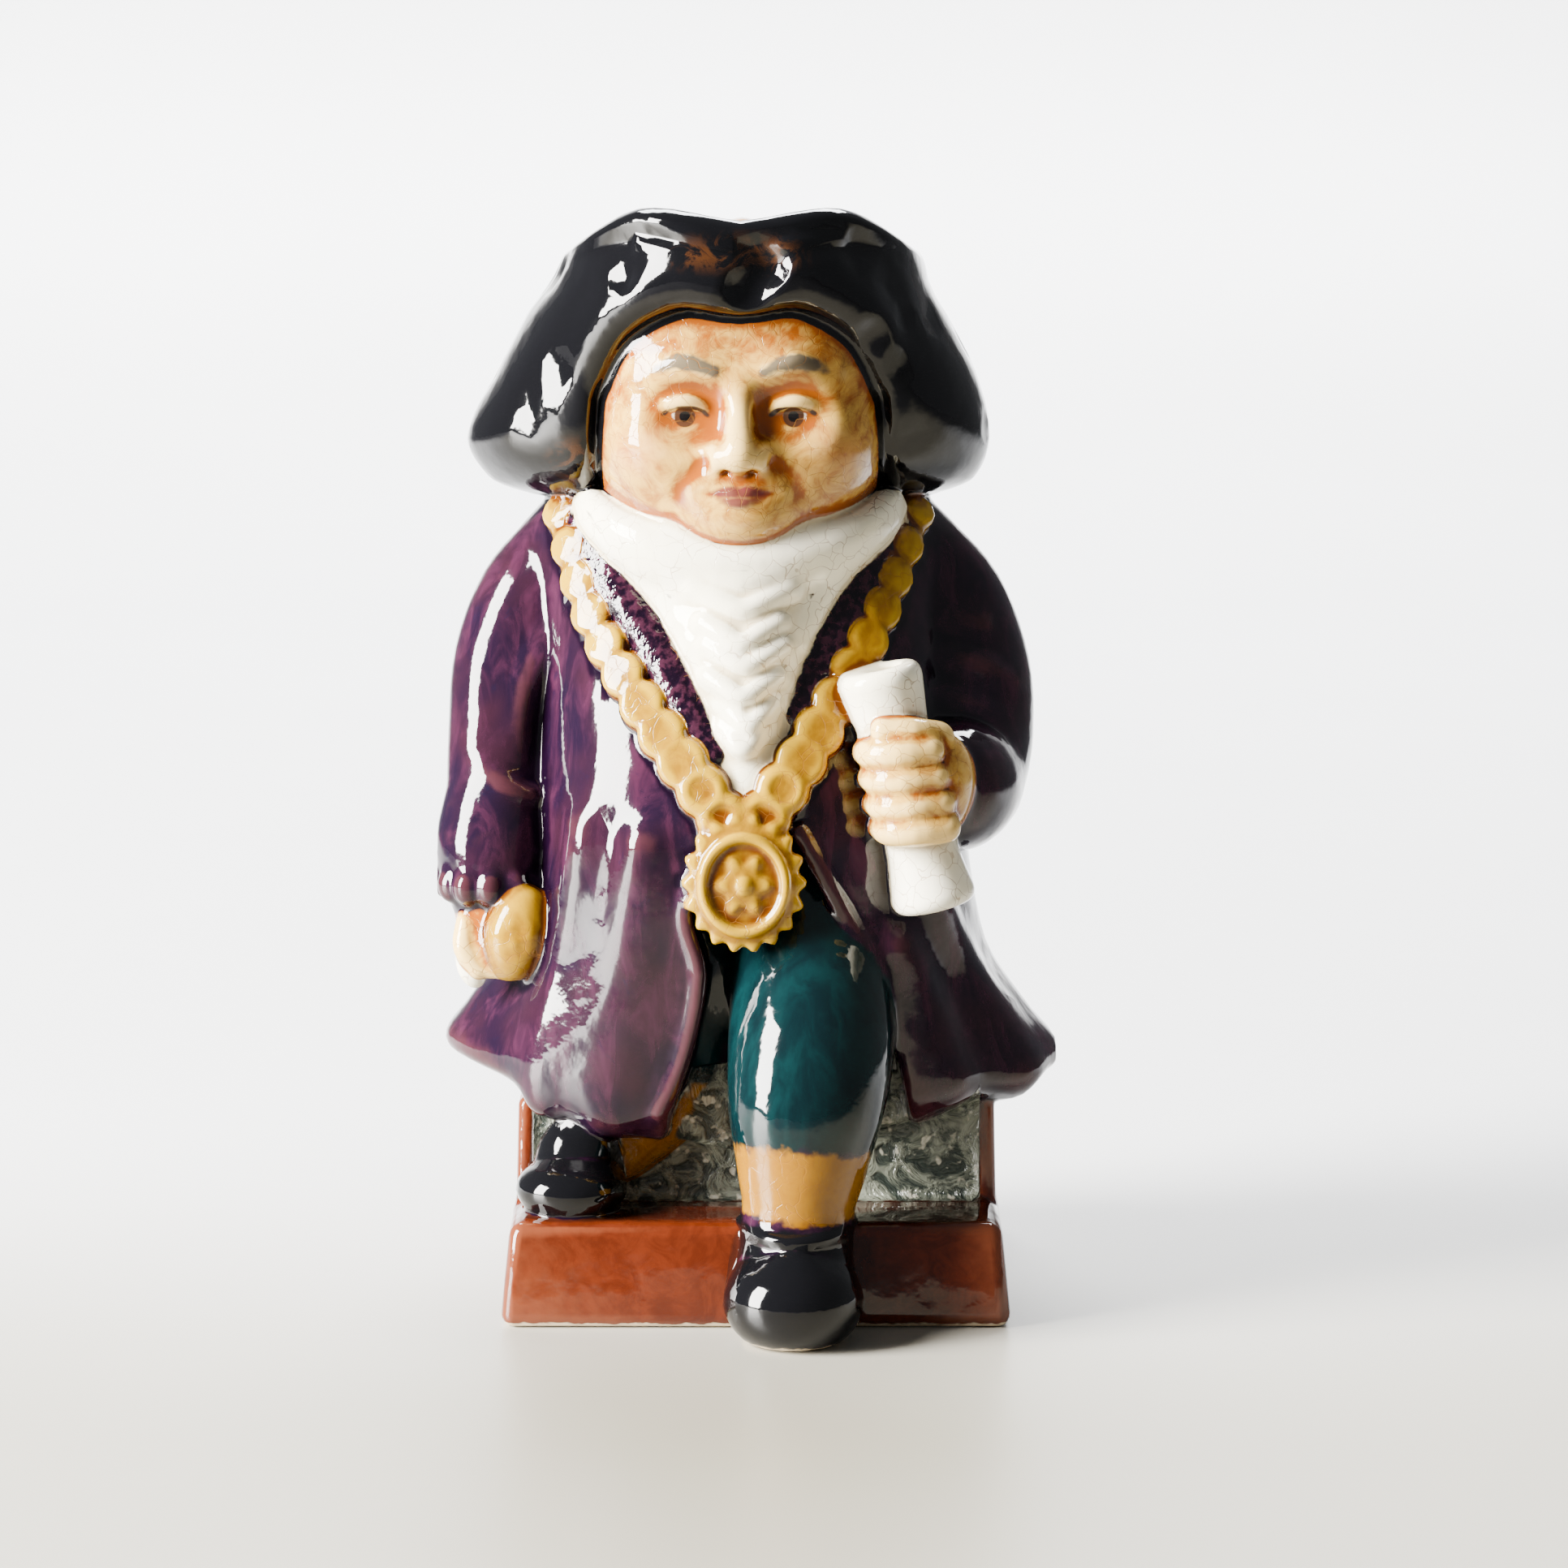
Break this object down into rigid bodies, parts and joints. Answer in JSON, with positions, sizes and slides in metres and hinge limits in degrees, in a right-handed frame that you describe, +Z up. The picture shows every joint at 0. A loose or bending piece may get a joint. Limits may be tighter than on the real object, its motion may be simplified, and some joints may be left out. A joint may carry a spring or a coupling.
{
  "type": "toby jug",
  "caption": "Hollow glazed earthenware jug shaped as a standing mayor in coat, wig and hat, with a scroll in hand, an open mouth inside the hat brim and a loop handle behind.",
  "frame": {"origin": "middle of the plinth's flat underside", "axes": "+Z up through the mouth, -Y out of the figure's face, +X to the viewer's right, the figure's left"},
  "size_m": [0.1073, 0.1308, 0.1894],
  "materials": {
    "glazed_earthenware": "gloss"
  },
  "bodies": {
    "root": {"toby_jug": "glazed_earthenware"}
  },
  "joints": []
}
